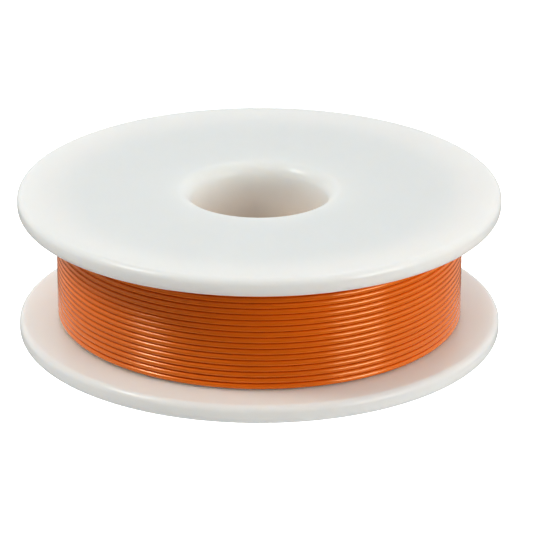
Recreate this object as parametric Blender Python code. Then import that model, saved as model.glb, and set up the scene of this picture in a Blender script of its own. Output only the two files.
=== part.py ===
"""A small reel of insulated wire: a moulded reel in two halves, the wire wound on it, and a strip of tape.

The reel stands on its lower flange, with its axis on Z and the middle of its underside at the origin. The
wire's two ends and the tape are on the side towards +Y.
"""

from math import cos, degrees, pi, radians, sin

import bmesh
import bpy

# Driving dimensions, in metres.
OVERALL_HEIGHT = 0.0202
FLANGE_RADIUS = 0.0325
FLANGE_THICKNESS = 0.00255
RIM_ROUNDING = 0.0009
BORE_RADIUS = 0.00925
BORE_LIP_ROUNDING = 0.0019
HUB_WALL = 0.00255
SPIGOT_LENGTH = 0.004
WIRE_DIAMETER = 0.0008
WINDING_RADIUS = 0.0273
TURNS_IN_A_LAYER = 18
START_HOLE_RADIUS = 0.001
START_HOLE_FROM_HUB = 0.00015
TAPE_THICKNESS = 0.0002
TAPE_WIDTH = 0.009
TAPE_BELOW_MIDDLE = 0.0012
GAP = 0.0003  # left between pieces that touch on the real reel

# Where the wire's ends and the tape lie, as angles about Z from +X.
START_HOLE_ANGLE = radians(96)
FREE_END_FROM = radians(40)
FREE_END_LEVEL_FROM = radians(76)
TAPE_FROM = radians(84)
TAPE_TO = radians(122)
FREE_END_LIFTS_FROM = radians(124)
FREE_END_TO = radians(136)
FREE_END_LIFT = 0.0008

# How finely the round pieces are faceted.
REEL_FACETS = 64
WINDING_FACETS = 48
CORNER_STEPS = 4
TAPE_STEPS = 10
FREE_END_STEPS = 40

# Worked out from the driving dimensions.
HUB_RADIUS = BORE_RADIUS + HUB_WALL
LOWER_INNER_FACE = FLANGE_THICKNESS
UPPER_INNER_FACE = OVERALL_HEIGHT - FLANGE_THICKNESS
MIDDLE = OVERALL_HEIGHT / 2
WIRE_RADIUS = WIRE_DIAMETER / 2
WINDING_BOTTOM = LOWER_INNER_FACE + GAP
WINDING_TOP = UPPER_INNER_FACE - GAP
TURN_PITCH = (WINDING_TOP - WINDING_BOTTOM) / TURNS_IN_A_LAYER
OUTER_LAYER_INSIDE = WINDING_RADIUS - WIRE_DIAMETER
FREE_END_RADIUS = WINDING_RADIUS + GAP + WIRE_RADIUS
FREE_END_LOW = WINDING_BOTTOM + 1.5 * WIRE_DIAMETER
FREE_END_LEVEL = MIDDLE - TAPE_BELOW_MIDDLE


def corner(radius, height, rounding, start, end, steps=CORNER_STEPS):
    """A rounded corner of a section, about (radius, height), from one angle to another in degrees."""
    angles = [radians(start + (end - start) * step / steps) for step in range(steps + 1)]
    return [(radius + rounding * cos(a), height + rounding * sin(a)) for a in angles]


def eased(share):
    """A smooth step from 0 to 1 as share goes from 0 to 1."""
    share = min(max(share, 0.0), 1.0)
    return share * share * (3 - 2 * share)


def plastic(name, colour, roughness, transmission=0.0):
    """A Principled material for a moulded or extruded plastic."""
    material = bpy.data.materials.new(name)
    material.use_nodes = True
    material.diffuse_color = (*colour, 1.0)
    shader = material.node_tree.nodes["Principled BSDF"]
    shader.inputs["Base Color"].default_value = (*colour, 1.0)
    shader.inputs["Roughness"].default_value = roughness
    shader.inputs["Metallic"].default_value = 0.0
    shader.inputs["Transmission Weight"].default_value = transmission
    return material


def placed(name, mesh, material):
    """Puts a mesh in the scene as one named sub-part."""
    mesh.materials.append(material)
    piece = bpy.data.objects.new(name, mesh)
    bpy.context.scene.collection.objects.link(piece)
    return piece


def turned_rows(bm, section, angles):
    """Copies of the section, a closed outline of (radius, height) points, one at each angle about Z."""
    return [[bm.verts.new((r * cos(angle), r * sin(angle), h)) for r, h in section] for angle in angles]


def bridged(bm, row, following):
    """The band of faces between two copies of a closed section."""
    for here in range(len(row)):
        there = (here + 1) % len(row)
        bm.faces.new((row[here], row[there], following[there], following[here]))


def finished(name, bm, material):
    """Turns the faces outwards, shades the round stretches smooth and puts the sub-part in the scene."""
    bmesh.ops.recalc_face_normals(bm, faces=bm.faces)
    mesh = bpy.data.meshes.new(name)
    bm.to_mesh(mesh)
    bm.free()
    mesh.shade_smooth()
    mesh.set_sharp_from_angle(angle=radians(32))
    return placed(name, mesh, material)


def turned(name, section, facets, material):
    """A ring: the section turned once about Z."""
    bm = bmesh.new()
    rows = turned_rows(bm, section, [2 * pi * step / facets for step in range(facets)])
    for row, following in zip(rows, rows[1:] + rows[:1]):
        bridged(bm, row, following)
    return finished(name, bm, material)


def swept(name, section, start, end, steps, material):
    """A curved bar: the section swept about Z from one angle to another, with both ends closed."""
    bm = bmesh.new()
    rows = turned_rows(bm, section, [start + (end - start) * step / steps for step in range(steps + 1)])
    for row, following in zip(rows, rows[1:]):
        bridged(bm, row, following)
    bm.faces.new(rows[0])
    bm.faces.new(rows[-1])
    return finished(name, bm, material)


def wire(name, points, material):
    """A stretch of the wire along the points, as a round tube with closed ends."""
    curve = bpy.data.curves.new(name, "CURVE")
    curve.dimensions = "3D"
    curve.bevel_depth = WIRE_RADIUS
    curve.bevel_resolution = 2
    curve.use_fill_caps = True
    spline = curve.splines.new("POLY")
    spline.points.add(len(points) - 1)
    for point, place in zip(spline.points, points):
        point.co = (*place, 1.0)
    return placed(name, curve, material)


def upper_half(material):
    """The upper flange and its hub sleeve, which steps down to the spigot on its inner side."""
    spigot_outside = BORE_RADIUS + (HUB_WALL - GAP) / 2
    shoulder = MIDDLE + SPIGOT_LENGTH / 2
    tip = MIDDLE - SPIGOT_LENGTH / 2
    rim = FLANGE_RADIUS - RIM_ROUNDING
    section = [(BORE_RADIUS, tip)]
    section += corner(BORE_RADIUS + BORE_LIP_ROUNDING, OVERALL_HEIGHT - BORE_LIP_ROUNDING,
                      BORE_LIP_ROUNDING, 180, 90)
    section += corner(rim, OVERALL_HEIGHT - RIM_ROUNDING, RIM_ROUNDING, 90, 0)
    section += corner(rim, UPPER_INNER_FACE + RIM_ROUNDING, RIM_ROUNDING, 0, -90)
    section += [(HUB_RADIUS, UPPER_INNER_FACE), (HUB_RADIUS, shoulder)]
    section += [(spigot_outside, shoulder), (spigot_outside, tip)]
    return turned("upper_reel_half", section, REEL_FACETS, material)


def lower_half(material):
    """The lower flange and its hub sleeve, which opens into the socket around the spigot."""
    socket_inside = HUB_RADIUS - (HUB_WALL - GAP) / 2
    socket_floor = MIDDLE - SPIGOT_LENGTH / 2 - GAP
    mouth = MIDDLE + SPIGOT_LENGTH / 2 - GAP
    rim = FLANGE_RADIUS - RIM_ROUNDING
    section = [(BORE_RADIUS, socket_floor), (socket_inside, socket_floor), (socket_inside, mouth)]
    section += [(HUB_RADIUS, mouth), (HUB_RADIUS, LOWER_INNER_FACE)]
    section += corner(rim, LOWER_INNER_FACE - RIM_ROUNDING, RIM_ROUNDING, 90, 0)
    section += corner(rim, RIM_ROUNDING, RIM_ROUNDING, 0, -90)
    section += corner(BORE_RADIUS + BORE_LIP_ROUNDING, BORE_LIP_ROUNDING, BORE_LIP_ROUNDING, 270, 180)
    half = turned("lower_reel_half", section, REEL_FACETS, material)
    drilled(half)
    return half


def start_hole_centre():
    """Where the start hole crosses the flange: just outside the hub, so that the first turn covers it."""
    radius = HUB_RADIUS + START_HOLE_FROM_HUB + START_HOLE_RADIUS
    return radius * cos(START_HOLE_ANGLE), radius * sin(START_HOLE_ANGLE)


def drilled(half):
    """Cuts the start hole through the flange with a hidden cutter."""
    x, y = start_hole_centre()
    bm = bmesh.new()
    bmesh.ops.create_cone(bm, cap_ends=True, segments=16, radius1=START_HOLE_RADIUS,
                          radius2=START_HOLE_RADIUS, depth=3 * FLANGE_THICKNESS)
    mesh = bpy.data.meshes.new("start_hole_cutter")
    bm.to_mesh(mesh)
    bm.free()
    cutter = bpy.data.objects.new("start_hole_cutter", mesh)
    bpy.context.scene.collection.objects.link(cutter)
    cutter.location = (x, y, FLANGE_THICKNESS / 2)
    cutter.display_type = "WIRE"
    cutter.hide_render = True
    hole = half.modifiers.new("start_hole", "BOOLEAN")
    hole.operation = "DIFFERENCE"
    hole.solver = "EXACT"
    hole.object = cutter


def inner_layers(material):
    """All the layers under the outermost one, as one plain ring around the hub."""
    inside = HUB_RADIUS + GAP
    outside = OUTER_LAYER_INSIDE - GAP
    section = [(inside, WINDING_BOTTOM), (outside, WINDING_BOTTOM)]
    section += [(outside, WINDING_TOP), (inside, WINDING_TOP)]
    return turned("wire_inner_layers", section, WINDING_FACETS, material)


def outer_layer(material):
    """The outermost layer: a ring with a rounded ridge for each turn and a groove between turns."""
    groove = 0.3 * WIRE_RADIUS
    section = [(OUTER_LAYER_INSIDE, WINDING_TOP), (OUTER_LAYER_INSIDE, WINDING_BOTTOM)]
    for turn in range(TURNS_IN_A_LAYER):
        foot = WINDING_BOTTOM + turn * TURN_PITCH
        section.append((WINDING_RADIUS - groove, foot))
        section.append((WINDING_RADIUS, foot + TURN_PITCH / 2))
    section.append((WINDING_RADIUS - groove, WINDING_TOP))
    return turned("wire_outer_layer", section, WINDING_FACETS, material)


def start_end(material):
    """The wire's first few millimetres, held in the start hole and cut off flush with the underside."""
    x, y = start_hole_centre()
    levels = [GAP, FLANGE_THICKNESS / 2, FLANGE_THICKNESS]
    return wire("wire_start_end", [(x, y, level) for level in levels], material)


def free_end(material):
    """The wire's last few centimetres: they climb off the lowest turn, lie on the others and end lifted."""
    points = []
    for step in range(FREE_END_STEPS + 1):
        angle = FREE_END_FROM + (FREE_END_TO - FREE_END_FROM) * step / FREE_END_STEPS
        climb = eased((angle - FREE_END_FROM) / (FREE_END_LEVEL_FROM - FREE_END_FROM))
        lift = eased((angle - FREE_END_LIFTS_FROM) / (FREE_END_TO - FREE_END_LIFTS_FROM))
        radius = FREE_END_RADIUS + FREE_END_LIFT * lift
        height = FREE_END_LOW + (FREE_END_LEVEL - FREE_END_LOW) * climb
        points.append((radius * cos(angle), radius * sin(angle), height))
    return wire("wire_free_end", points, material)


def tape(material):
    """The strip that holds the free end: it lies along the winding and humps over the wire."""
    low = FREE_END_LEVEL - TAPE_WIDTH / 2
    lying = WINDING_RADIUS + GAP
    over = FREE_END_RADIUS + WIRE_RADIUS + GAP
    half_hump = WIRE_RADIUS + 2 * GAP
    foot = half_hump + WIRE_DIAMETER
    heights = [low, FREE_END_LEVEL - foot, FREE_END_LEVEL - half_hump, FREE_END_LEVEL + half_hump,
               FREE_END_LEVEL + foot, low + TAPE_WIDTH]
    under = [lying, lying, over, over, lying, lying]
    section = list(zip(under, heights))
    section += [(radius + TAPE_THICKNESS, height) for radius, height in reversed(section)]
    return swept("end_tape", section, TAPE_FROM, TAPE_TO, TAPE_STEPS, material)


def main():
    for leftover in list(bpy.data.objects):
        bpy.data.objects.remove(leftover, do_unlink=True)
    upper_half(plastic("milky_plastic_upper", (0.88, 0.88, 0.85), 0.28, 0.15))
    lower_half(plastic("milky_plastic_lower", (0.88, 0.88, 0.85), 0.28, 0.15))
    inner_layers(plastic("wire_jacket_inner", (0.80, 0.20, 0.015), 0.35))
    outer_layer(plastic("wire_jacket_outer", (0.80, 0.20, 0.015), 0.3))
    start_end(plastic("wire_jacket_start", (0.80, 0.20, 0.015), 0.3))
    free_end(plastic("wire_jacket_free_end", (0.80, 0.20, 0.015), 0.3))
    tape(plastic("paper_tape", (0.75, 0.68, 0.5), 0.7))
    print(f"turn pitch {TURN_PITCH * 1000:.3f} mm, tape over {degrees(TAPE_TO - TAPE_FROM):.0f} degrees")


main()
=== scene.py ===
# %% [markdown]
# # A small reel of orange wire
#
# A finished solid model of the reel comes in as a fixed frame, and it gives every size and place. The
# solids are plain. Each step of this lesson makes a fine piece that stands where a plain one was, or
# gives a piece its finish. The reel is two plastic mouldings, 65 mm across. One length of thin insulated
# wire is wound on it, and a strip of paper tape holds the wire's end down behind.

from math import cos, degrees, pi, radians, sin

import bmesh
import bpy
import numpy as np
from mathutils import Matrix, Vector, noise


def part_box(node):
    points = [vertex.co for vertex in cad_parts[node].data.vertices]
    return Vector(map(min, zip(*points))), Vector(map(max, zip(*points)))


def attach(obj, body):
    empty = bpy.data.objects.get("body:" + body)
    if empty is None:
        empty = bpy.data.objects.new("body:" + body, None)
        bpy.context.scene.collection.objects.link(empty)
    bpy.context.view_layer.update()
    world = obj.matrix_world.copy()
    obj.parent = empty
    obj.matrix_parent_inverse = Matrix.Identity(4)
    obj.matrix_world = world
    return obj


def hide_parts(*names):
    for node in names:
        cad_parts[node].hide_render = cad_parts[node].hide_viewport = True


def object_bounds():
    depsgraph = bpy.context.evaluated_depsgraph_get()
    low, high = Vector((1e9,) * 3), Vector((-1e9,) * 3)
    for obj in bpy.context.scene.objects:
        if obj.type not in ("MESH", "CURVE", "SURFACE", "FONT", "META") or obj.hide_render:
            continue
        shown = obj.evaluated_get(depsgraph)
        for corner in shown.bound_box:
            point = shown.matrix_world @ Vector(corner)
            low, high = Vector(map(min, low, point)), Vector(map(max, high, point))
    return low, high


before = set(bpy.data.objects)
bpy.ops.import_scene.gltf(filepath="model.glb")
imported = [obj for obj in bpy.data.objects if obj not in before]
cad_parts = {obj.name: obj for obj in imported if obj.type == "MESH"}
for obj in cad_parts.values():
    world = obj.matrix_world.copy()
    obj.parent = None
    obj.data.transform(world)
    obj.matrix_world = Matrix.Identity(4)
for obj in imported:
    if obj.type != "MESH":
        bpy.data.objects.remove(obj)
cad_low, cad_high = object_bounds()
print("the solids are", ", ".join(sorted(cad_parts)))

# %% [markdown]
# ## Sizes
#
# Lengths are in metres. Every size that a plain solid already holds is read back from it, so that the
# fine pieces always fit. A round solid tells most in polar form: how far each of its corners is from the
# reel's axis, at which angle, and how high.

# %% Read the sizes from the solids
MM = 0.001
CLEARANCE = 0.3 * MM  # the solids keep this much apart where the real pieces touch


def polar(node):
    """The radius, the angle about Z and the height of every corner of a solid."""
    corners = np.array([corner.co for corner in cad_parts[node].data.vertices])
    return np.hypot(corners[:, 0], corners[:, 1]), np.arctan2(corners[:, 1], corners[:, 0]), corners[:, 2]


half_radii, _, half_heights = polar("lower_reel_half")
height = cad_high.z - cad_low.z
flange_radius = float(half_radii.max())
bore_radius = float(half_radii.min())
hub_radius = float(half_radii[half_heights > half_heights.max() - 0.01 * MM].max())

winding_low, winding_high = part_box("wire_outer_layer")
flange_thickness = winding_low.z - CLEARANCE
winding_radius = winding_high.x

start_low, start_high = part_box("wire_start_end")
wire_radius = (start_high.x - start_low.x) / 2

_, end_angles, _ = polar("wire_free_end")
end_from, end_to = float(end_angles.min()), float(end_angles.max())
_, tape_angles, tape_heights = polar("end_tape")
tape_from, tape_to = float(tape_angles.min()), float(tape_angles.max())
tape_low, tape_high = float(tape_heights.min()), float(tape_heights.max())
end_level = (tape_low + tape_high) / 2

print(f"flanges {2 * flange_radius / MM:.1f} mm across and {flange_thickness / MM:.2f} mm thick")
print(f"bore {2 * bore_radius / MM:.1f} mm, hub {2 * hub_radius / MM:.1f} mm")
print(f"wire {2 * wire_radius / MM:.1f} mm")

# %% [markdown]
# ## The camera
#
# The camera comes early, so that each new piece can be looked at. It stands 0.55 m from the reel, in
# front of it and a little above, and looks through a long lens, which keeps the round flanges from
# bulging. It doesn't aim at the reel's middle but slightly beside and below it.

# %% Set up the camera
ELEVATION = radians(22.134)
CAMERA_DISTANCE = 16.971 * flange_radius
SENSOR_WIDTH = 36  # millimetres, as the lens is
LENS = 275.7
AIM_RIGHT = 0.969 * MM
AIM_DOWN = 1.14 * MM

middle = (cad_low + cad_high) / 2
towards_camera = Vector((0, -cos(ELEVATION), sin(ELEVATION)))
camera_up = Vector((0, sin(ELEVATION), cos(ELEVATION)))
aim = middle + Vector((AIM_RIGHT, 0, 0)) - AIM_DOWN * camera_up

camera_data = bpy.data.cameras.new("camera")
camera_data.sensor_width = SENSOR_WIDTH
camera_data.lens = LENS
camera_data.clip_start = 0.01
camera = bpy.data.objects.new("camera", camera_data)
bpy.context.scene.collection.objects.link(camera)
camera.location = aim + CAMERA_DISTANCE * towards_camera
camera.rotation_euler = (pi / 2 - ELEVATION, 0, 0)
bpy.context.scene.camera = camera
print(f"the camera stands {CAMERA_DISTANCE:.3f} m away")

# %% [markdown]
# ## Node helpers
#
# A material in Blender is a small graph of nodes. Three helpers keep the materials short: one starts a
# graph with its shader, one adds a node and joins its inputs, and one makes a noise pattern that stays
# fixed to the piece. The noise is sampled in object space, in millimetres, so a grain of 1 is a grain of
# one millimetre.


# %% Helpers for materials
def new_material(name, **shader_values):
    """A material with one Principled shader, whose uniform values are set on its own sockets."""
    material = bpy.data.materials.new(name)
    material.use_nodes = True
    shader = material.node_tree.nodes["Principled BSDF"]
    for socket, value in shader_values.items():
        shader.inputs[socket.replace("_", " ")].default_value = value
    return material, material.node_tree, shader


def add_node(tree, kind, settings=None, **inputs):
    """A node of that kind. An input is a plain value, or the output of another node to join to it."""
    node = tree.nodes.new(kind)
    for name, value in (settings or {}).items():
        setattr(node, name, value)
    for name, value in inputs.items():
        socket = node.inputs[int(name[1:])] if name[1:].isdigit() else node.inputs[name.replace("_", " ")]
        if isinstance(value, bpy.types.NodeSocket):
            tree.links.new(value, socket)
        else:
            socket.default_value = value
    return node


def grain(tree, size, detail=2.0, stretch=(1, 1, 1)):
    """Noise from 0 to 1 with patches of about that many millimetres, fixed to the piece."""
    place = add_node(tree, "ShaderNodeTexCoord").outputs["Object"]
    scale = [share / (size * MM) for share in stretch]
    scaled = add_node(tree, "ShaderNodeVectorMath", {"operation": "MULTIPLY"}, i0=place, i1=scale)
    pattern = add_node(tree, "ShaderNodeTexNoise", Vector=scaled.outputs[0], Scale=1.0, Detail=detail)
    return pattern.outputs["Fac"]


def ranged(tree, value, low, high, to_low, to_high):
    """A value that runs from low to high, mapped to run from to_low to to_high, and held at the ends."""
    mapped = add_node(tree, "ShaderNodeMapRange", i0=value, i1=low, i2=high, i3=to_low, i4=to_high)
    return mapped.outputs[0]


def blended(tree, factor, first, second):
    """Two colours mixed by a factor from 0 to 1."""
    mix = add_node(tree, "ShaderNodeMix", {"data_type": "RGBA"}, i0=factor, i6=first, i7=second)
    return mix.outputs[2]


def bumps(tree, shader, *layers):
    """Joins layers of (pattern, depth in millimetres) into one bump and gives it to the shader."""
    normal = None
    for pattern, depth in layers:
        bump = add_node(tree, "ShaderNodeBump", Strength=1.0, Distance=depth * MM, Height=pattern)
        if normal is not None:
            tree.links.new(normal, bump.inputs["Normal"])
        normal = bump.outputs["Normal"]
    tree.links.new(normal, shader.inputs["Normal"])


# %% [markdown]
# ## Milky plastic
#
# The reel halves are moulded in uncoloured polypropylene: white, slightly cloudy, with a satin gloss.
# Light enters it and spreads some millimetres before it comes out, which the shader's subsurface setting
# does, and so the rims glow a little with the light that falls on the faces. The wall of the bore is
# thin, and the orange wire lies right behind it, so the light that comes through the wall there is warm.
# That warm light is painted light: an orange-cream glow painted into the inner wall's colour by height
# and radius. A soft, very shallow bump stands for the slight sink of moulded plastic, a finer one for its
# skin, and noise in the roughness for handling marks.


# %% Make the plastic
# Painted light: the orange glow of the wire seen through the thin bore wall, painted into the colour.
PAINTED_WIRE_GLOW = (0.93, 0.79, 0.70, 1)
MILKY = (0.845, 0.87, 0.86, 1)
MILKY_THIN = (0.83, 0.855, 0.84, 1)
GLOW_FADES_FROM, GLOW_GONE_AT = 0.1 * MM, 0.9 * MM  # out from the bore's wall
GLOW_STARTS, GLOW_FULL = 1.5 * MM, 7.5 * MM  # down from each flange's outer face


def milky_plastic(name):
    material, tree, shader = new_material(
        name, Subsurface_Weight=1.0, Subsurface_Scale=5 * MM, Subsurface_Radius=(1.0, 0.9, 0.8),
        Coat_Weight=0.2, Coat_Roughness=0.15, IOR=1.49, Specular_IOR_Level=0.3)
    clouds = blended(tree, grain(tree, 9, 3), MILKY, MILKY_THIN)
    place = add_node(tree, "ShaderNodeTexCoord").outputs["Object"]
    parts = add_node(tree, "ShaderNodeSeparateXYZ", i0=place)
    flat = add_node(tree, "ShaderNodeCombineXYZ", i0=parts.outputs[0], i1=parts.outputs[1], i2=0.0)
    radius = add_node(tree, "ShaderNodeVectorMath", {"operation": "LENGTH"}, i0=flat.outputs[0]).outputs[1]
    # Where the painted wire glow lies: just inside the bore's wall, and deep between the flanges.
    inside = ranged(tree, radius, bore_radius + GLOW_FADES_FROM, bore_radius + GLOW_GONE_AT, 1, 0)
    from_middle = add_node(
        tree, "ShaderNodeMath", {"operation": "SUBTRACT"}, i0=parts.outputs[2], i1=height / 2)
    off_middle = add_node(tree, "ShaderNodeMath", {"operation": "ABSOLUTE"}, i0=from_middle.outputs[0])
    deep = ranged(tree, off_middle.outputs[0], height / 2 - GLOW_FULL, height / 2 - GLOW_STARTS, 1, 0)
    painted_glow = add_node(tree, "ShaderNodeMath", {"operation": "MULTIPLY"}, i0=inside, i1=deep).outputs[0]
    tree.links.new(blended(tree, painted_glow, clouds, PAINTED_WIRE_GLOW), shader.inputs["Base Color"])
    handled = ranged(tree, grain(tree, 4, 4), 0.3, 0.7, 0.3, 0.4)
    tree.links.new(handled, shader.inputs["Roughness"])
    bumps(tree, shader, (grain(tree, 6, 1), 0.02), (grain(tree, 0.35, 3), 0.002))
    return material


plastic_finish = milky_plastic("satin_milky_plastic")
print("made", plastic_finish.name)

# %% [markdown]
# ## Turning a piece on a lathe
#
# Both reel halves are round, so each is drawn as half a section, a closed outline of (radius, height)
# points, and turned once about Z. Rounded corners are arcs. A helper turns outlines, and the same helper
# could be the Screw modifier: making the rings one by one keeps the seam closed without a merge distance.


# %% Helpers for turned pieces
REEL_FACETS = 288
ARC_STEPS = 10


def arc(radius, level, rounding, start, end):
    """A rounded corner of an outline, about (radius, level), between two angles in degrees."""
    angles = [radians(start + (end - start) * step / ARC_STEPS) for step in range(ARC_STEPS + 1)]
    return [(radius + rounding * cos(angle), level + rounding * sin(angle)) for angle in angles]


def add_piece(name, mesh, finish):
    """Puts a mesh in the scene as a piece of the reel, which rides on the frame's one body."""
    mesh.materials.append(finish)
    piece = bpy.data.objects.new(name, mesh)
    bpy.context.scene.collection.objects.link(piece)
    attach(piece, "root")
    print(f"made {name}: {len(mesh.polygons)} faces")
    return piece


def turned_mesh(name, outline, facets):
    """The outline turned once about Z, as a closed mesh with smooth round faces."""
    bm = bmesh.new()
    rings = []
    for step in range(facets):
        angle = 2 * pi * step / facets
        rings.append([bm.verts.new((r * cos(angle), r * sin(angle), level)) for r, level in outline])
    for ring, following in zip(rings, rings[1:] + rings[:1]):
        for here in range(len(outline)):
            there = (here + 1) % len(outline)
            bm.faces.new((ring[here], ring[there], following[there], following[here]))
    bmesh.ops.recalc_face_normals(bm, faces=bm.faces)
    mesh = bpy.data.meshes.new(name)
    bm.to_mesh(mesh)
    bm.free()
    mesh.shade_smooth()
    mesh.set_sharp_from_angle(angle=radians(40))
    return mesh


# %% [markdown]
# ## The upper reel half
#
# The upper flange and its hub sleeve are one moulding. The bore runs into the top face over a large, soft
# lip, the rim is rounded above and below, and the sleeve steps down to a thin spigot. The spigot goes
# into the lower half's sleeve, so from outside only a hairline shows, deep in the bore.

# %% Make the upper reel half
RIM_ROUNDING = 0.9 * MM
LIP_ROUNDING = 1.9 * MM
SPIGOT_LENGTH = 4 * MM
SEAM = 0.06 * MM

rim_centre = flange_radius - RIM_ROUNDING
lip_centre = bore_radius + LIP_ROUNDING
inner_top = height - flange_thickness
spigot_radius = (bore_radius + hub_radius) / 2
spigot_tip = height / 2 - SPIGOT_LENGTH / 2
spigot_root = height / 2 + SPIGOT_LENGTH / 2

upper_outline = [(bore_radius, spigot_tip)]
upper_outline += arc(lip_centre, height - LIP_ROUNDING, LIP_ROUNDING, 180, 90)
upper_outline += arc(rim_centre, height - RIM_ROUNDING, RIM_ROUNDING, 90, 0)
upper_outline += arc(rim_centre, inner_top + RIM_ROUNDING, RIM_ROUNDING, 0, -90)
upper_outline += [(hub_radius, inner_top), (hub_radius, spigot_root)]
upper_outline += [(spigot_radius - SEAM, spigot_root), (spigot_radius - SEAM, spigot_tip)]
upper_half = add_piece("moulded_upper_half", turned_mesh("moulded_upper_half", upper_outline, REEL_FACETS),
                       plastic_finish)
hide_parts("upper_reel_half")

# %% [markdown]
# ## The lower reel half
#
# The lower half mirrors the upper one, but its sleeve opens into a socket for the spigot. A small hole
# beside the hub takes the start of the wire. It is cut with a Boolean: a turned plug with flared ends is
# taken away, which leaves a hole with softened edges, as a moulding pin would. The Boolean's result is
# then kept as the mesh, so that no hidden cutter stays in the scene.

# %% Make the lower reel half
HOLE_RADIUS = 1.0 * MM
HOLE_EDGE = 0.2 * MM
HOLE_FACETS = 32
PLUG_CORE = 0.01 * MM  # the plug is turned, so its middle is left open by this much

socket_floor = spigot_tip - SEAM
socket_mouth = spigot_root - SEAM
lower_outline = [(bore_radius, socket_floor), (spigot_radius, socket_floor), (spigot_radius, socket_mouth)]
lower_outline += [(hub_radius, socket_mouth), (hub_radius, flange_thickness)]
lower_outline += arc(rim_centre, flange_thickness - RIM_ROUNDING, RIM_ROUNDING, 90, 0)
lower_outline += arc(rim_centre, RIM_ROUNDING, RIM_ROUNDING, 0, -90)
lower_outline += arc(lip_centre, LIP_ROUNDING, LIP_ROUNDING, 270, 180)
uncut = bpy.data.objects.new("uncut", turned_mesh("uncut", lower_outline, REEL_FACETS))
bpy.context.scene.collection.objects.link(uncut)

flare = HOLE_RADIUS + HOLE_EDGE
beyond = 2 * HOLE_EDGE
plug_outline = [(PLUG_CORE, -beyond), (flare + beyond, -beyond), (flare, 0), (HOLE_RADIUS, HOLE_EDGE)]
plug_outline += [(HOLE_RADIUS, flange_thickness - HOLE_EDGE), (flare, flange_thickness)]
plug_outline += [(flare + beyond, flange_thickness + beyond), (PLUG_CORE, flange_thickness + beyond)]
plug = bpy.data.objects.new("plug", turned_mesh("plug", plug_outline, HOLE_FACETS))
bpy.context.scene.collection.objects.link(plug)
hole_x = (start_low.x + start_high.x) / 2
hole_y = (start_low.y + start_high.y) / 2
plug.location = (hole_x, hole_y, 0)

cut = uncut.modifiers.new("hole", "BOOLEAN")
cut.operation = "DIFFERENCE"
cut.solver = "EXACT"
cut.object = plug
evaluated = uncut.evaluated_get(bpy.context.evaluated_depsgraph_get())
lower_mesh = bpy.data.meshes.new_from_object(evaluated)
lower_mesh.name = "moulded_lower_half"
lower_mesh.materials.clear()
for helper in (uncut, plug):
    bpy.data.objects.remove(helper)
lower_half = add_piece("moulded_lower_half", lower_mesh, plastic_finish)
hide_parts("lower_reel_half")

# %% [markdown]
# ## The wire's route
#
# The wire is one length, and it is wound as a winding machine does it. It comes up through the small
# hole, bends round the hub and travels up, turn beside turn. At the flange it is squeezed out between the
# flange and the turn before, climbs onto that layer and travels back. Twenty-two layers fill the reel.
# All the layers are real turns of the same wire, so the wire has its true length, and the outermost ones
# show every groove.
#
# The route is worked out in turns: how many turns the wire has made says which layer it is in, how far it
# has travelled and how high it has climbed. A turn isn't an even screw. Each one lies almost level over
# the front and the right side, and moves on by most of a pitch behind. So the last turn of a layer sits
# flat on the flange, and the climb onto the next layer is behind too.

# %% Work out the layers
LAYERS = 22
PITCH = 1.004 * 2 * wire_radius  # from one turn to the next, with hardly any room between them
CLIMB_TURNS = 30 / 360  # of a turn along the flange, while the wire climbs onto the next layer
MOVES_ON_AT = (10, 170, 310, 370)  # degrees: behind up to 170, slowly over the front, then not at all
MOVED_BY = (0, 0.61, 1, 1)  # pitches
SOFTENED_OVER = 12  # degrees either way

wire_diameter = 2 * wire_radius
hub_turn_radius = hub_radius + wire_radius
outer_turn_radius = winding_radius - wire_radius
layer_step = (outer_turn_radius - hub_turn_radius) / (LAYERS - 1)
lowest_turn = flange_thickness + wire_radius
highest_turn = height - flange_thickness - wire_radius


def eased(share):
    """A smooth step from 0 to 1 as share goes from 0 to 1."""
    share = np.clip(share, 0, 1)
    return share * share * (3 - 2 * share)


BEND_RADIUS = 2 * wire_diameter
hole_angle = float(np.arctan2(hole_y, hole_x))
hole_from_axis = float(np.hypot(hole_x, hole_y))
wound_from = hole_angle + (BEND_RADIUS - wire_radius) / hub_turn_radius


def moved_on(turns):
    """How many pitches an endless winding has moved on after that many turns."""
    total = 0
    for shift in (-SOFTENED_OVER, 0, SOFTENED_OVER):
        at = degrees(wound_from) + shift - MOVES_ON_AT[0] + 360 * np.asarray(turns)
        total = total + at // 360 + np.interp(at % 360 + MOVES_ON_AT[0], MOVES_ON_AT, MOVED_BY)
    return total / 3


ends_at = (end_from - wound_from) / (2 * pi)
layer_pitches = (highest_turn - lowest_turn) / PITCH
layer_turns = layer_pitches + CLIMB_TURNS
whole_turns = round(LAYERS * layer_turns - ends_at)
all_turns = whole_turns + ends_at
tried = np.linspace(-1, 1, 2001) + all_turns - layer_turns
outer_from = float(np.interp(moved_on(all_turns - CLIMB_TURNS) - layer_pitches, moved_on(tried), tried))
layer_starts = np.append(np.linspace(0, outer_from, LAYERS), all_turns)
closing = moved_on(all_turns) - moved_on(all_turns - CLIMB_TURNS)


def squeezed_out(share):
    """How far the wire rises beside the turn before, as that turn closes in on the flange."""
    beside = PITCH * (1 - closing * share)
    return np.sqrt(np.maximum(wire_diameter**2 - beside**2, 0))


print(f"{LAYERS} layers, {layer_step / MM:.2f} mm apart, with {all_turns / LAYERS:.2f} turns in each")

# %% [markdown]
# Real turns aren't perfect circles. A little slow noise moves the outer turns in and out and up and down
# by a few hundredths of a millimetre, and neighbours move together, because they touch.


# %% Follow the wire through its layers
def wobble(angle, level, seed):
    """Slow noise from about -1 to 1, the same for turns that lie side by side."""
    return noise.noise(Vector((2.2 * cos(angle), 2.2 * sin(angle), level / (4 * MM) + seed)))


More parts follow.
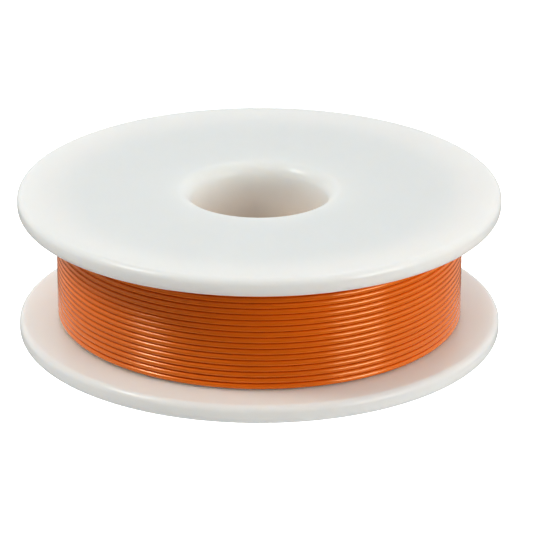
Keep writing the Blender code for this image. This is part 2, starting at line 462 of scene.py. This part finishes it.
def wound_places(turns):
    """The radius, angle and height of the wire's middle after each of these numbers of turns."""
    layer = np.clip(np.searchsorted(layer_starts, turns, side="right") - 1, 0, LAYERS - 1)
    start, end = layer_starts[layer], layer_starts[layer + 1]
    travelled = moved_on(turns) - moved_on(start)
    travelled = np.minimum(travelled / (moved_on(end - CLIMB_TURNS) - moved_on(start)), 1)
    span = highest_turn - lowest_turn
    level = lowest_turn + span * np.where(layer % 2 == 0, travelled, 1 - travelled)
    climbing = np.clip((turns - end) / CLIMB_TURNS + 1, 0, 1)
    rise = squeezed_out(climbing) + (layer_step - squeezed_out(1)) * eased(climbing)
    return hub_turn_radius + layer * layer_step + rise, wound_from + 2 * pi * turns, level


HIDDEN_POINTS = 18
NEXT_POINTS = 60
OUTER_POINTS = 144
fine_from = outer_from - 1
next_from = fine_from - layer_turns


def evenly(start, end, points_each_turn):
    """Numbers of turns from start up to end, about evenly spaced."""
    return np.linspace(start, end, int((end - start) * points_each_turn), endpoint=False)


hidden_turns = np.concatenate([
    evenly(0, next_from, HIDDEN_POINTS), evenly(next_from, fine_from, NEXT_POINTS)])
outer_turns = evenly(fine_from, all_turns, OUTER_POINTS)
WOBBLE_OUT = 0.025 * MM
WOBBLE_UP = 0.03 * MM
radii, angles, levels = wound_places(outer_turns)
for index, (angle, level) in enumerate(zip(angles, levels)):
    steady = min(1, (level - lowest_turn) / MM, (highest_turn - level) / MM)
    radii[index] += WOBBLE_OUT * wobble(angle, level, 0)
    levels[index] += WOBBLE_UP * steady * wobble(angle, level, 50)


def places(radii, angles, levels):
    """Polar places as points."""
    return np.stack([radii * np.cos(angles), radii * np.sin(angles), levels + 0 * radii], axis=1)


hidden_line = places(*wound_places(hidden_turns))
outer_line = places(radii, angles, levels)
print(f"{len(hidden_line)} points in the hidden layers and {len(outer_line)} in the outer ones")

# %% [markdown]
# The two ends are drawn apart. The start stands upright in its hole, flush with the underside but for a
# hair, and bends into the first turn. The free end leaves the lowest turn, climbs across the others to
# the level of the tape, goes under the tape, and springs off the winding a little before its cut.

# %% Add the start and the free end
START_ABOVE_BENCH = 0.3 * MM
TIP_LIFT = 0.8 * MM
TIP_DROP = 0.5 * MM

upright = np.linspace(START_ABOVE_BENCH, lowest_turn - BEND_RADIUS, 6, endpoint=False)
bend = np.linspace(0, pi / 2, 9, endpoint=False)
bend_start = -wire_radius
along = np.concatenate([np.full(len(upright), bend_start), bend_start + BEND_RADIUS * (1 - np.cos(bend))])
start_levels = np.concatenate([upright, lowest_turn - BEND_RADIUS + BEND_RADIUS * np.sin(bend)])
start_radii = hole_from_axis + (hub_turn_radius - hole_from_axis) * eased((along - bend_start) / BEND_RADIUS)
start_line = places(start_radii, hole_angle + along / start_radii, start_levels)

end_points = np.linspace(end_from, end_to, 96)
lies_on = outer_turn_radius + wire_diameter
last_turn_radius = outer_turn_radius + layer_step
lifting = eased((end_points - tape_to - radians(2)) / (end_to - tape_to - radians(2)))
stepping_up = eased((end_points - end_from) / radians(5))
end_line_radii = last_turn_radius + (lies_on - last_turn_radius) * stepping_up + TIP_LIFT * lifting
crossing = eased((end_points - end_from - radians(1)) / (tape_from - end_from - radians(9)))
end_line_levels = lowest_turn + (end_level - lowest_turn) * crossing - TIP_DROP * lifting
end_line = places(end_line_radii, end_points, end_line_levels)

wire_line = np.concatenate([start_line, hidden_line, outer_line, end_line])

# %% [markdown]
# ## The wire's jacket
#
# The jacket is extruded plastic, a strong orange with a bright gloss. Its colour drifts very slightly
# along the reel, and its skin has the faint ripple that a die leaves. A clear coat gives the crisp lights
# on the turns. The softer gloss underneath is tinted towards the jacket's own colour, which keeps the
# orange deep where it only mirrors the surround.


# %% Make the jacket's finish
ORANGE = (0.88, 0.225, 0.004, 1)
DEEP_ORANGE = (0.84, 0.205, 0.003, 1)


def jacket(name):
    material, tree, shader = new_material(
        name, Coat_Weight=1.0, Coat_Roughness=0.18, IOR=1.58, Specular_Tint=(1, 0.8, 0.5, 1))
    drift = blended(tree, grain(tree, 12, 1, (1, 1, 4)), ORANGE, DEEP_ORANGE)
    tree.links.new(drift, shader.inputs["Base Color"])
    worn = ranged(tree, grain(tree, 3, 2), 0.3, 0.7, 0.2, 0.25)
    tree.links.new(worn, shader.inputs["Roughness"])
    bumps(tree, shader, (grain(tree, 2.5, 1), 0.003), (grain(tree, 0.15, 2), 0.0004))
    return material


jacket_finish = jacket("orange_jacket")
print("made", jacket_finish.name)

# %% [markdown]
# ## A tube along the route
#
# A tube is a row of rings joined by faces. Each ring needs two directions square to the wire: one points
# away from the reel's axis and one lies across it. Away from the axis is never along the wire, so the
# rings never twist. The hidden layers have six-sided rings and the outer ones twelve. Where the two meet,
# each side of a coarse ring joins two sides of a fine one.


# %% Helpers for tubes
def ring_points(line, radius, sides, after=None):
    """A ring of points about each point of a line."""
    ahead = np.gradient(line if after is None else np.vstack([line, after]), axis=0)[:len(line)]
    ahead /= np.linalg.norm(ahead, axis=1, keepdims=True)
    outward = line * (1, 1, 0)
    outward -= (outward * ahead).sum(axis=1, keepdims=True) * ahead
    outward /= np.linalg.norm(outward, axis=1, keepdims=True)
    across = np.cross(ahead, outward)
    turn = 2 * pi * np.arange(sides) / sides
    away = outward[:, None] * np.cos(turn)[None, :, None] + across[:, None] * np.sin(turn)[None, :, None]
    return line[:, None] + radius * away


def tube_faces(rows, sides, first):
    """The faces between rows of rings, whose points are numbered from first."""
    ring = np.arange(sides)
    corners = np.stack([ring, (ring + 1) % sides, (ring + 1) % sides + sides, ring + sides], axis=1)
    return (first + sides * np.arange(rows - 1)[:, None, None] + corners[None]).reshape(-1, 4).tolist()


# %% Make the wire
COARSE, FINE = 6, 12
coarse_line = np.concatenate([start_line, hidden_line])
fine_line = np.concatenate([outer_line, end_line])
coarse_rings = ring_points(coarse_line, wire_radius, COARSE, after=fine_line[:1])
fine_rings = ring_points(fine_line, wire_radius, FINE)
fine_first = len(coarse_line) * COARSE
wire_corners = np.concatenate([coarse_rings.reshape(-1, 3), fine_rings.reshape(-1, 3)])

wire_faces = tube_faces(len(coarse_line), COARSE, 0) + tube_faces(len(fine_line), FINE, fine_first)
last_coarse = fine_first - COARSE
for side in range(COARSE):
    following = (side + 1) % COARSE
    wire_faces.append((last_coarse + side, last_coarse + following, fine_first + 2 * following,
                       fine_first + 2 * side + 1, fine_first + 2 * side))
wire_faces.append(tuple(range(COARSE))[::-1])
wire_faces.append(tuple(range(len(wire_corners) - FINE, len(wire_corners))))

wire_mesh = bpy.data.meshes.new("wound_wire")
wire_mesh.from_pydata(wire_corners.tolist(), [], wire_faces)
wire_mesh.shade_smooth()
wire_mesh.set_sharp_from_angle(angle=radians(65))
wire = add_piece("wound_wire", wire_mesh, jacket_finish)
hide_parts("wire_inner_layers", "wire_outer_layer", "wire_start_end", "wire_free_end")

# %% [markdown]
# ## The conductor
#
# Where the wire is cut, its copper shows: a bright disc that stands out of the jacket by the width of a
# cutter's nip. Each cut end gets a short pin of metal with a rounded, slightly pinched tip.


# %% Make the conductor's cut ends
CONDUCTOR_RADIUS = 0.15 * MM
CONDUCTOR_SHOWS = 0.25 * MM
COPPER = (0.82, 0.36, 0.20, 1)
DULL_COPPER = (0.55, 0.22, 0.12, 1)


def copper(name):
    material, tree, shader = new_material(name, Metallic=1.0)
    tarnish = ranged(tree, grain(tree, 0.12, 3), 0.35, 0.65, 0, 1)
    tree.links.new(blended(tree, tarnish, COPPER, DULL_COPPER), shader.inputs["Base Color"])
    tree.links.new(ranged(tree, tarnish, 0, 1, 0.22, 0.42), shader.inputs["Roughness"])
    bumps(tree, shader, (grain(tree, 0.06, 2), 0.003))
    return material


copper_finish = copper("copper")


PIN_PROFILE = [(1.0, -1.2), (1.0, 0.6), (0.92, 0.85), (0.7, 1.0), (0.3, 1.03)]  # shares of radius and length
PINCHED_PAST = 0.9
PINCH = 0.75


def cut_conductor(name, tip, direction):
    """A short pin of the wire's metal at a cut end, which points in that direction."""
    ahead = Vector(direction).normalized()
    turn = ahead.to_track_quat("Z", "Y")
    bm = bmesh.new()
    rings = []
    for share, out in PIN_PROFILE:
        ring = []
        for step in range(FINE):
            angle = 2 * pi * step / FINE
            pinch = PINCH if out > PINCHED_PAST else 1.0
            spot = Vector((share * cos(angle), pinch * share * sin(angle), 0)) * CONDUCTOR_RADIUS
            spot.z = out * CONDUCTOR_SHOWS
            ring.append(bm.verts.new(Vector(tip) + turn @ spot))
        rings.append(ring)
    for ring, following in zip(rings, rings[1:]):
        for here in range(FINE):
            there = (here + 1) % FINE
            bm.faces.new((ring[here], ring[there], following[there], following[here]))
    bm.faces.new(rings[0][::-1])
    bm.faces.new(rings[-1])
    mesh = bpy.data.meshes.new(name)
    bm.to_mesh(mesh)
    bm.free()
    mesh.shade_smooth()
    return add_piece(name, mesh, copper_finish)


free_conductor = cut_conductor("conductor_at_free_end", wire_line[-1], wire_line[-1] - wire_line[-2])
start_conductor = cut_conductor("conductor_at_start", wire_line[0], wire_line[0] - wire_line[1])

# %% [markdown]
# ## The tape
#
# A strip of crepe paper tape holds the free end. It follows the turns, rises over the wire in a low tent,
# and its two ends are torn on a toothed blade. The strip is a grid: each point's angle and height say
# where it lies, and its radius is the crest of the turns or the tent over the wire, whichever is further
# out. Crepe has fine creases across the strip, so they are real folds in the grid, and finer ones are in
# the bump.

# %% Make the tape's finish
PAPER = (0.78, 0.66, 0.43, 1)
PAPER_DARK = (0.66, 0.53, 0.31, 1)


def crepe_paper(name):
    material, tree, shader = new_material(
        name, Sheen_Weight=0.15, Sheen_Roughness=0.6, Specular_IOR_Level=0.3)
    fibres = grain(tree, 0.25, 4, (2.5, 1, 0.5))
    tree.links.new(blended(tree, ranged(tree, fibres, 0.3, 0.7, 0, 1), PAPER, PAPER_DARK),
                   shader.inputs["Base Color"])
    tree.links.new(ranged(tree, grain(tree, 1.5, 2), 0.3, 0.7, 0.62, 0.8), shader.inputs["Roughness"])
    bumps(tree, shader, (grain(tree, 0.45, 3, (3, 1, 0.35)), 0.03), (fibres, 0.008))
    return material


paper_finish = crepe_paper("crepe_paper")
print("made", paper_finish.name)

# %% Make the tape
TAPE_THICKNESS = 0.13 * MM
CREASE_DEPTH = 0.035 * MM
TOOTH_DEPTH = 0.45 * MM
TOOTH_PITCH = 1.1 * MM
TENT_HEIGHT = wire_diameter + 0.06 * MM
TENT_SPREAD = 0.85 * MM
TAPE_GAP = 0.07 * MM  # between the crest of the turns and the tape's inner side
LOOSENESS = 0.06 * MM
CORNER_LIFT = 0.5 * MM
LIFTS_FROM = 1.72  # the one corner that comes loose has a length share and a width share that add up to 2
ALONG_STEPS, ACROSS_STEPS = 150, 60


def torn(level):
    """How far the torn edge reaches at a height: a row of teeth."""
    phase = (level / TOOTH_PITCH) % 1
    return TOOTH_DEPTH * (1 - abs(2 * phase - 1))


def tape_place(along, across):
    """The angle, height and radius of the tape's inner side, from shares of its length and width."""
    level = tape_low + (tape_high - tape_low) * across
    inset = torn(level) / winding_radius
    angle = tape_from + inset + (tape_to - tape_from - 2 * inset) * along
    tent = TENT_HEIGHT * np.exp(-((level - end_level) / TENT_SPREAD) ** 2)
    crease = noise.noise(Vector((along * 38, across * 2.5, 7)))
    crease += 0.6 * noise.noise(Vector((along * 90, across * 4, 3)))
    corner_lift = CORNER_LIFT * max(0, across + along - LIFTS_FROM) ** 2 / (2 - LIFTS_FROM) ** 2
    loose = LOOSENESS * noise.noise(Vector((along * 7, across * 5, 20)))
    radius = winding_radius + TAPE_GAP + tent + CREASE_DEPTH * crease + corner_lift + abs(loose)
    return radius, angle, level


bm = bmesh.new()
layers = []
for thickness in (0, TAPE_THICKNESS):
    layer = []
    for step in range(ALONG_STEPS + 1):
        row = []
        for cross in range(ACROSS_STEPS + 1):
            radius, angle, level = tape_place(step / ALONG_STEPS, cross / ACROSS_STEPS)
            radius += thickness
            row.append(bm.verts.new((radius * cos(angle), radius * sin(angle), level)))
        layer.append(row)
    layers.append(layer)
for layer in layers:
    for row, following in zip(layer, layer[1:]):
        for here in range(ACROSS_STEPS):
            bm.faces.new((row[here], row[here + 1], following[here + 1], following[here]))
inner, outer = layers
borders = [[layer[0] for layer in layers], [layer[-1] for layer in layers]]
borders += [[[row[side] for row in layer] for layer in layers] for side in (0, -1)]
for under, over in borders:
    for here in range(len(under) - 1):
        bm.faces.new((under[here], under[here + 1], over[here + 1], over[here]))
bmesh.ops.recalc_face_normals(bm, faces=bm.faces)
tape_mesh = bpy.data.meshes.new("torn_tape")
bm.to_mesh(tape_mesh)
bm.free()
tape_mesh.shade_smooth()
tape_mesh.set_sharp_from_angle(angle=radians(60))
tape = add_piece("torn_tape", tape_mesh, paper_finish)
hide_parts("end_tape")

# %% [markdown]
# ## The floor and the light
#
# The reel stands on a plain pale table that curves up far away, all round it, as a studio's paper sweep
# does, so that no edge shows from any side. The sweep glows by itself, and the reel's lighting ignores
# it: a real white table this bright would throw so much light up that the grooves between the turns would
# turn pale.


# %% Set up the floor
PALE = (0.32, 0.32, 0.32, 1)
LESS_PALE = (0.30, 0.30, 0.30, 1)
GLOW = 1.05
SWEEP_FACETS = 96
MIDDLE_RADIUS = 0.3
TABLE_RADIUS = 1.8
SWEEP_ROUNDING = 0.5
SWEEP_HEIGHT = 2.0
BELOW_REEL = 0.02 * MM


def pale_floor(name):
    material, tree, shader = new_material(
        name, Roughness=0.9, Specular_IOR_Level=0.1, Emission_Color=(1, 1, 1, 1), Emission_Strength=GLOW)
    tree.links.new(blended(tree, grain(tree, 60, 2), PALE, LESS_PALE), shader.inputs["Base Color"])
    return material


sweep_profile = [(MIDDLE_RADIUS, 0), (TABLE_RADIUS, 0)]
sweep_profile += arc(TABLE_RADIUS, SWEEP_ROUNDING, SWEEP_ROUNDING, 270, 360)
sweep_profile += [(TABLE_RADIUS + SWEEP_ROUNDING, SWEEP_HEIGHT)]
bm = bmesh.new()
rings = []
for radius, level in sweep_profile:
    angles = [2 * pi * step / SWEEP_FACETS for step in range(SWEEP_FACETS)]
    rings.append([bm.verts.new((radius * cos(angle), radius * sin(angle), level)) for angle in angles])
bm.faces.new(rings[0])
for ring, following in zip(rings, rings[1:]):
    for here in range(SWEEP_FACETS):
        there = (here + 1) % SWEEP_FACETS
        bm.faces.new((ring[here], ring[there], following[there], following[here]))
bmesh.ops.recalc_face_normals(bm, faces=bm.faces)
floor_mesh = bpy.data.meshes.new("floor")
bm.to_mesh(floor_mesh)
bm.free()
floor_mesh.shade_smooth()
floor_mesh.materials.append(pale_floor("pale_floor"))
floor = bpy.data.objects.new("floor", floor_mesh)
bpy.context.scene.collection.objects.link(floor)
floor.location.z = cad_low.z - BELOW_REEL
floor.visible_diffuse = False
floor.visible_glossy = False
floor.visible_shadow = False
print("made the floor and its sweep")

# %% [markdown]
# Two panels shape the wire. The left one stands high, and the upper flange cuts its light off along a
# slanting line across the turns. The right one is larger and low, and draws broad lights on them. A
# third, under the table, stands for the light that a white table throws up: it reaches the rims and the
# undersides, but it is left out of reflections. A soft surround is bright beside and behind the reel and
# dark in front, which keeps the wire's colour deep where it faces the camera. The display's high-contrast
# look does the rest: white plastic stays white and the grooves stay dark.


# %% Set up the lights
def panel(name, azimuth, elevation, distance, size, watts, colour=(1, 1, 1)):
    """A square light panel that faces the reel. Azimuth 0 is at the front and 90 at the right."""
    data = bpy.data.lights.new(name, "AREA")
    data.shape = "SQUARE"
    data.size = size
    data.energy = watts
    data.color = colour
    light = bpy.data.objects.new(name, data)
    bpy.context.scene.collection.objects.link(light)
    flat = cos(radians(elevation))
    towards = Vector((sin(radians(azimuth)) * flat, -cos(radians(azimuth)) * flat, sin(radians(elevation))))
    light.location = middle + distance * towards
    light.rotation_mode = "QUATERNION"
    light.rotation_quaternion = towards.to_track_quat("Z", "Y")
    light.visible_camera = False
    return light


WARM_WHITE = (1.0, 0.96, 0.88)
panel("left_light", -76, 47, 0.6, 0.14, 0.9, WARM_WHITE)
panel("right_light", 56, 15, 0.5, 0.24, 0.76, WARM_WHITE)
table_glow = panel("table_glow", 0, -90, 0.12, 0.6, 0.6)
table_glow.visible_glossy = False


TINT_OF_ROOM = (0.97, 0.99, 1, 1)
BELOW_SHARE = 0.12
OVERHEAD_SHARE = 0.72


def surround(name, in_front, around):
    """A surround of strength in_front towards -Y and around elsewhere, and dimmer below and overhead."""
    world = bpy.data.worlds.new(name)
    world.use_nodes = True
    tree = world.node_tree
    direction = add_node(tree, "ShaderNodeTexCoord").outputs["Generated"]
    parts = add_node(tree, "ShaderNodeSeparateXYZ", i0=direction)
    sideways = ranged(tree, parts.outputs[1], -1.0, -0.2, in_front, around)
    from_below = ranged(tree, parts.outputs[2], -0.35, 0.15, BELOW_SHARE, 1.0)
    from_above = ranged(tree, parts.outputs[2], 0.2, 0.9, 1.0, OVERHEAD_SHARE)
    level = add_node(tree, "ShaderNodeMath", {"operation": "MULTIPLY"}, i0=from_below, i1=from_above)
    strength = add_node(tree, "ShaderNodeMath", {"operation": "MULTIPLY"}, i0=sideways, i1=level.outputs[0])
    tree.links.new(strength.outputs[0], tree.nodes["Background"].inputs["Strength"])
    tree.nodes["Background"].inputs["Color"].default_value = TINT_OF_ROOM
    return world


bpy.context.scene.world = surround("surround", 0.02, 0.66)
display = bpy.context.scene.view_settings
display.view_transform = "Standard"
display.look = "High Contrast"
